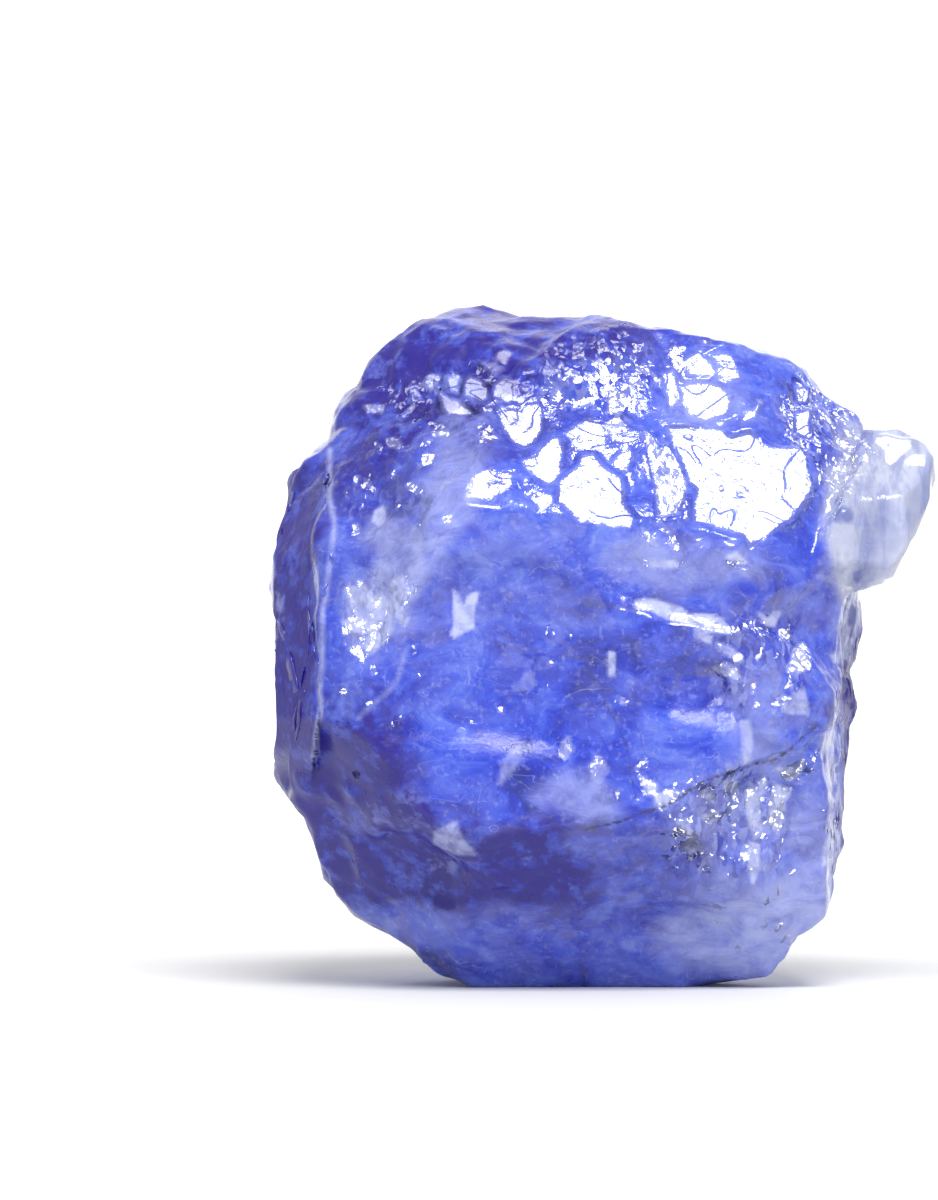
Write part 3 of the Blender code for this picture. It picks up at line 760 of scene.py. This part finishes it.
# Noise patterns of the crystal: scale per millimetre, detail, distortion and roughness
patterns = {
    "bend": (3.2, 1.0, 0.0, 0.5),
    "clouds": (0.34, 3.0, 1.2, 0.6),
    "veils": (0.95, 6.0, 1.1, 0.7),
    "specks": (6.0, 2.0, 0.0, 0.5),
    "veins": (0.42, 3.0, 0.8, 0.5),
    "scratches": (0.9, 2.0, 0.8, 0.5),
    "flecks": (2.4, 3.0, 0.0, 0.6),
    "streaks": (0.8, 3.0, 0.0, 0.65),
    "frost": (1.1, 4.0, 0.0, 0.65),
    "terraces": (1 / 2.4, 2.0, 0.8, 0.5),
}

# How patterns and zones turn into amounts: from low and high, to the values at these two
ramps = {
    "lineHere": (0.48, 0.58, 0.0, 1.0),
    "speckPale": (0.55, 0.72, 0.0, 0.16),
    "milkUneven": (0.32, 0.62, 0.55, 1.15),
    "cellDark": (0.55, 0.95, 0.0, 0.45),
    "cellPale": (0.45, 1.0, 0.0, 0.55),
    "cellChosen": (0.04, 0.10, 0.0, 1.0),
    "blotches": (0.40, 0.60, 1.4, 0.5),
    "crackBlue": (0.4, 0.95, 0.0, 1.0),
    "crackDirt": (0.35, 0.9, 0.0, 1.0),
    "speckDirt": (0.42, 0.56, 0.0, 1.0),
    "ridgeWearAndSheen": (0.22, 0.6, 0.0, 1.0),
    "speckWearAndSheen": (0.35, 0.6, 0.1, 0.4),
    "threadPale": (0.36, 0.58, 0.6, 1.1),
    "tipStreaks": (0.44, 0.66, 0.0, 0.55),
    "roughness": (0.35, 0.7, 0.27, 0.432),
    "inkCoat": (0.2, 1.0, 1.0, 0.08),
    "frostCoat": (0.42, 0.54, 0.35, 1.0),
    "terraceStep": (0.8, 1.0, 0.0, 1.0),
}

# The crystal's colours, clearness and fine skin. Heights are in millimetres
sapphire = {
    "shades": [
        (0.36, (0.010, 0.021, 0.29, 1)),
        (0.44, (0.017, 0.039, 0.51, 1)),
        (0.50, (0.034, 0.075, 0.65, 1)),
        (0.56, (0.065, 0.121, 0.71, 1)),
        (0.66, (0.150, 0.226, 0.78, 1)),
    ],
    "cloudsAndVeils": (0.45, 0.55),
    "flecksAndDepth": (0.5, 0.5),
    "strokeStretch": (0.75, 0.9, 1.3),
    "veinBlue": (0.010, 0.012, 0.40, 1),
    "veinAmount": 0.55,
    "veinWidth": 0.010,
    "scratchAmount": 0.28,
    "scratchWidth": 0.006,
    # indigo is the dark of the ink zones: partly the stone's own colour, partly painted shade
    "indigo": (0.018, 0.008, 0.22, 1),
    "inkAndShadeMost": 0.96,
    "milky": (0.38, 0.43, 0.82, 1),
    # pale of wear, scratches and specks, and of the painted highlights on the pale lines and marks
    "paleWearAndHighlightColour": (0.55, 0.60, 0.92, 1),
    "wearAndHighlightOnTip": 0.5,
    "colourless": (0.74, 0.79, 1.0, 1),
    "tipBlue": (0.20, 0.25, 0.62, 1),
    "tipInk": 0.9,
    "tipStretch": (2.2, 1.0, 0.55),
    "crackBlue": 0.6,
    "crackDirt": (0.02, 0.015, 0.06, 1),
    "clearRoughness": 0.22,
    "coatRoughness": 0.055,
    "specular": 0.25,
    "ior": 1.77,
    "transmission": 0.16,
    "inkTransmission": 0.05,
    "milkTransmission": 0.15,
    "milkClouding": 0.6,
    "clearTransmission": 0.40,
    "absorb": (0.30, 0.36, 0.95, 1),
    "absorbDensity": 60.0,
    "grainSize": 0.22,
    "grainBend": 0.22,
    "grainStretch": (1.4, 1.2, 0.65),
    "grainStray": 0.18,
    "grainLean": 0.75,
    "grainFacing": 0.35,
    "wrinkleStep": 0.016,
    "wrinkleCount": 7.0,
    "pitting": 0.006,
    "dimpling": (0.014, 0.05),
    "crackDepth": -0.025,
}


def tiltedCells(tree, place, cells, grain, catch):
    # height of small flat cells, each with a lean of its own
    offset = vectorCalc(tree, "SUBTRACT", place, cells["Position"])
    leaning = vectorCalc(tree, "SUBTRACT", cells["Color"], half)
    height = times(tree, vectorCalc(tree, "DOT_PRODUCT", offset, leaning), sapphire["grainLean"])
    # some of the cells face the lamp instead, as the flat faces do
    aim = lampSlope()
    normal = addNode(tree, "NewGeometry").outputs["Normal"]
    facing = calc(tree, "MAXIMUM", vectorCalc(tree, "DOT_PRODUCT", normal, aim), sapphire["grainFacing"])
    tilt = vectorCalc(tree, "SUBTRACT", normal, scaled(tree, aim, calc(tree, "DIVIDE", 1.0, facing)))
    numbers = parts(tree, cells["Color"])
    stray = addNode(tree, "CombineXYZ", {"X": numbers["Green"], "Y": 0.5, "Z": numbers["Blue"]}).outputs["Vector"]
    stray = scaled(tree, vectorCalc(tree, "SUBTRACT", stray, half), sapphire["grainStray"])
    catching = vectorCalc(tree, "DOT_PRODUCT", offset, vectorCalc(tree, "ADD", tilt, stray))
    chosen = ramp(tree, calc(tree, "SUBTRACT", catch, numbers["Red"]), ramps["cellChosen"])
    return blendValue(tree, chosen, times(tree, height, grain), catching)


def terraces(tree, place):
    # height of flat terraces with thin steps between them
    level = times(tree, cloud(tree, place, "terraces")["Fac"], sapphire["wrinkleCount"])
    whole = calc(tree, "FLOOR", level)
    rest = ramp(tree, calc(tree, "SUBTRACT", level, whole), ramps["terraceStep"])
    return times(tree, plus(tree, whole, rest), sapphire["wrinkleStep"])


def bodyColour(tree, place, layers, shared, cells):
    look = sapphire
    strokes = vectorCalc(tree, "MULTIPLY", place, look["strokeStretch"])
    veils = cloud(tree, strokes, "veils")["Fac"]
    clouds, flecks, specks = cloud(tree, place, "clouds")["Fac"], shared["flecks"], shared["specks"]
    ofClouds, ofVeils = look["cloudsAndVeils"]
    depth = plus(tree, times(tree, clouds, ofClouds), times(tree, veils, ofVeils))
    colour = colourRamp(tree, depth, look["shades"])
    veins = times(tree, thinLines(tree, place, "veins", look["veinWidth"]), look["veinAmount"])
    colour = mixColour(tree, veins, colour, look["veinBlue"])
    scratches = times(tree, thinLines(tree, strokes, "scratches", look["scratchWidth"]), look["scratchAmount"])
    colour = mixColour(tree, scratches, colour, look["paleWearAndHighlightColour"])
    colour = mixColour(tree, ramp(tree, specks, ramps["speckPale"]), colour, look["paleWearAndHighlightColour"])
    milk = calc(tree, "MULTIPLY", layers["milk"], ramp(tree, veils, ramps["milkUneven"]), True)
    colour = mixColour(tree, milk, colour, look["milky"])
    numbers = parts(tree, cells["Color"])
    darkCells = times(tree, ramp(tree, numbers["Blue"], ramps["cellDark"]), layers["grain"])
    colour = mixColour(tree, darkCells, colour, look["veinBlue"])
    paleCells = times(tree, ramp(tree, numbers["Green"], ramps["cellPale"]), layers["grain"])
    colour = mixColour(tree, paleCells, colour, look["milky"])
    ofFlecks, ofDepth = look["flecksAndDepth"]
    blotches = plus(tree, times(tree, flecks, ofFlecks), times(tree, depth, ofDepth))
    # darker indigo in the ink zones: partly the stone's own colour, partly painted shade
    inkedAndShaded = times(tree, layers["ink"], ramp(tree, blotches, ramps["blotches"]))
    colour = mixColour(tree, calc(tree, "MINIMUM", inkedAndShaded, look["inkAndShadeMost"]), colour, look["indigo"])
    cracks = times(tree, ramp(tree, layers["crack"], ramps["crackBlue"]), look["crackBlue"])
    return mixColour(tree, cracks, colour, look["veinBlue"])


def tipColour(tree, place, layers):
    look = sapphire
    streaks = cloud(tree, vectorCalc(tree, "MULTIPLY", place, look["tipStretch"]), "streaks")["Fac"]
    tip = mixColour(tree, ramp(tree, streaks, ramps["tipStreaks"]), look["colourless"], look["tipBlue"])
    return mixColour(tree, times(tree, layers["ink"], look["tipInk"]), tip, look["tipBlue"])


def wearHighlightAndDirtColour(tree, colour, layers, shared):
    look = sapphire
    # paler on ridges and along the pale lines and marks: partly wear, partly painted highlight
    ridges = times(tree, ramp(tree, layers["ridge"], ramps["ridgeWearAndSheen"]),
                   ramp(tree, shared["specks"], ramps["speckWearAndSheen"]))
    pale = times(tree, layers["paleWearAndHighlight"], ramp(tree, shared["flecks"], ramps["threadPale"]))
    wearAndHighlight = calc(tree, "MAXIMUM", ridges, pale, True)
    wearAndHighlight = times(tree, wearAndHighlight, blendValue(tree, layers["clear"], 1.0, look["wearAndHighlightOnTip"]))
    colour = mixColour(tree, wearAndHighlight, colour, look["paleWearAndHighlightColour"])
    dirt = times(tree, ramp(tree, layers["crack"], ramps["crackDirt"]),
                 ramp(tree, shared["specks"], ramps["speckDirt"]))
    return mixColour(tree, dirt, colour, look["crackDirt"])


def skinHeight(tree, place, cellPlace, layers, shared, cells):
    look = sapphire
    height = tiltedCells(tree, cellPlace, cells, layers["grain"], layers["catch"])
    height = plus(tree, height, times(tree, terraces(tree, place), layers["wrinkle"]))
    height = plus(tree, height, times(tree, shared["specks"], look["pitting"]))
    dimples = times(tree, shared["flecks"], blendValue(tree, layers["wrinkle"], *look["dimpling"]))
    height = plus(tree, height, dimples)
    return plus(tree, height, times(tree, layers["crack"], look["crackDepth"]))


def makeSapphire():
    look = sapphire
    material = bpy.data.materials.new("sapphire_crystal")
    material.use_nodes = True
    tree = material.node_tree
    shader = tree.nodes["Principled BSDF"]
    out = tree.nodes["Material Output"]
    coords = addNode(tree, "TexCoord").outputs["Object"]
    place = addNode(tree, "Mapping", {"Vector": coords, "Scale": (1 / mm, 1 / mm, 1 / mm)}).outputs["Vector"]
    layers = {name: addNode(tree, "Attribute", attribute_type="GEOMETRY", attribute_name=name).outputs["Fac"]
              for name in [*zones, "paleWearAndHighlight", "crack", "ridge"]}
    shared = {name: cloud(tree, place, name)["Fac"] for name in ("specks", "flecks")}
    bend = vectorCalc(tree, "SUBTRACT", cloud(tree, place, "bend")["Color"], half)
    bent = vectorCalc(tree, "ADD", place, scaled(tree, bend, look["grainBend"]))
    cellPlace = vectorCalc(tree, "MULTIPLY", bent, look["grainStretch"])
    cells = addNode(tree, "TexVoronoi", {"Vector": cellPlace, "Scale": 1 / look["grainSize"], "Randomness": 1.0})
    cells = cells.outputs

    colour = mixColour(tree, layers["clear"], bodyColour(tree, place, layers, shared, cells),
                       tipColour(tree, place, layers))
    tree.links.new(wearHighlightAndDirtColour(tree, colour, layers, shared), shader.inputs["Base Color"])

    frost = cloud(tree, place, "frost")["Fac"]
    roughness = blendValue(tree, layers["clear"], ramp(tree, frost, ramps["roughness"]), look["clearRoughness"])
    tree.links.new(roughness, shader.inputs["Roughness"])

    passing = blendValue(tree, layers["ink"], look["transmission"], look["inkTransmission"])
    passing = blendValue(tree, times(tree, layers["milk"], look["milkClouding"]), passing, look["milkTransmission"])
    passing = blendValue(tree, layers["clear"], passing, look["clearTransmission"])
    tree.links.new(passing, shader.inputs["Transmission Weight"])

    height = skinHeight(tree, place, cellPlace, layers, shared, cells)
    bump = addNode(tree, "Bump", {"Height": height, "Distance": mm, "Strength": 1.0}).outputs["Normal"]
    tree.links.new(bump, shader.inputs["Normal"])
    tree.links.new(bump, shader.inputs["Coat Normal"])

    coat = times(tree, ramp(tree, layers["ink"], ramps["inkCoat"]), ramp(tree, frost, ramps["frostCoat"]))
    coat = times(tree, coat, calc(tree, "SUBTRACT", 1.0, layers["matte"]))
    tree.links.new(coat, shader.inputs["Coat Weight"])
    shader.inputs["Coat Roughness"].default_value = look["coatRoughness"]
    shader.inputs["Coat IOR"].default_value = look["ior"]
    shader.inputs["IOR"].default_value = look["ior"]
    shader.inputs["Specular IOR Level"].default_value = look["specular"]

    absorb = addNode(tree, "VolumeAbsorption", {"Color": look["absorb"], "Density": look["absorbDensity"]})
    tree.links.new(absorb.outputs["Volume"], out.inputs["Volume"])
    return material


# Floor and backdrop, as one sheet that curves up behind the stone
floor = {"width": 900, "front": 300, "back": 260, "height": 420, "bend": 120, "bendSteps": 16, "colour": 0.76}


def makeFloor():
    bpy.ops.object.select_all(action="DESELECT")
    bpy.ops.mesh.primitive_plane_add(size=1, location=(0, 0, 0))
    sheet = bpy.context.object
    sheet.name = "floor"
    sheet.scale = (floor["width"] * mm, (floor["front"] + floor["back"]) * mm, 1)
    sheet.location = (0, (floor["back"] - floor["front"]) / 2 * mm, 0)
    bpy.ops.object.transform_apply(location=True, scale=True)
    bpy.ops.object.mode_set(mode="EDIT")
    bpy.ops.mesh.select_all(action="DESELECT")
    bpy.ops.object.mode_set(mode="OBJECT")
    farEdge = floor["back"] * mm
    for edge in sheet.data.edges:
        edge.select = all(abs(sheet.data.vertices[i].co.y - farEdge) < mm for i in edge.vertices)
    bpy.ops.object.mode_set(mode="EDIT")
    bpy.ops.mesh.select_mode(type="EDGE")
    bpy.ops.mesh.extrude_region_move(TRANSFORM_OT_translate={"value": (0, 0, floor["height"] * mm)})
    bpy.ops.object.mode_set(mode="OBJECT")
    for edge in sheet.data.edges:
        ends = [sheet.data.vertices[i].co for i in edge.vertices]
        edge.select = all(abs(end.y - farEdge) < mm and abs(end.z) < mm for end in ends)
    bpy.ops.object.mode_set(mode="EDIT")
    bpy.ops.mesh.bevel(offset=floor["bend"] * mm, segments=floor["bendSteps"])
    bpy.ops.object.mode_set(mode="OBJECT")
    sheet.data.shade_smooth()
    paper = bpy.data.materials.new("pale_paper")
    paper.use_nodes = True
    shader = paper.node_tree.nodes["Principled BSDF"]
    shader.inputs["Base Color"].default_value = (floor["colour"], floor["colour"], floor["colour"], 1)
    shader.inputs["Roughness"].default_value = 0.9
    sheet.data.materials.append(paper)
    return sheet


# Lights: each one's place, what it points at, size and power
lights = {
    "softboxAbove": {"at": (16, -116, 162), "aim": (0, 0, 12), "size": (88, 88), "power": 0.40},
    "backdropGlow": {"at": (0, 60, 200), "aim": (0, 260, 150), "size": (300, 100), "power": 1.0},
}
world = {"colour": (1, 1, 1, 1), "strength": 0.55}


def makeLights():
    for name, light in lights.items():
        data = bpy.data.lights.new(name, "AREA")
        data.shape = "RECTANGLE"
        data.size = light["size"][0] * mm
        data.size_y = light["size"][1] * mm
        data.energy = light["power"]
        lamp = bpy.data.objects.new(name, data)
        bpy.context.collection.objects.link(lamp)
        lamp.location = Vector(light["at"]) * mm
        sight = Vector(light["aim"]) - Vector(light["at"])
        lamp.rotation_euler = sight.to_track_quat("-Z", "Y").to_euler()
    sky = bpy.data.worlds.new("studio")
    bpy.context.scene.world = sky
    sky.use_nodes = True
    background = sky.node_tree.nodes["Background"]
    background.inputs["Color"].default_value = world["colour"]
    background.inputs["Strength"].default_value = world["strength"]


def makeCamera():
    data = bpy.data.cameras.new("camera")
    data.lens = camera["lens"]
    data.sensor_width = camera["sensor"]
    data.clip_start = 1 * mm
    width, height = camera["frame"]
    distance = camera["lens"] / camera["sensor"] * height * camera["mmPerPixel"]
    viewer = bpy.data.objects.new("camera", data)
    bpy.context.collection.objects.link(viewer)
    x = (width / 2 - camera["originPixel"][0]) * camera["mmPerPixel"]
    z = (camera["originPixel"][1] - height / 2) * camera["mmPerPixel"]
    viewer.location = Vector((x, camera["faceY"] - distance, z)) * mm
    viewer.rotation_euler = (math.radians(90), 0, 0)
    bpy.context.scene.camera = viewer


piece = makeStone()
piece.data.materials.clear()
piece.data.materials.append(makeSapphire())
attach(piece, stone["body"])
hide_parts(stone["node"])
print("stone: dressed")

makeFloor()
makeLights()
makeCamera()
bpy.context.scene.view_settings.view_transform = "Standard"
print("studio: ready")
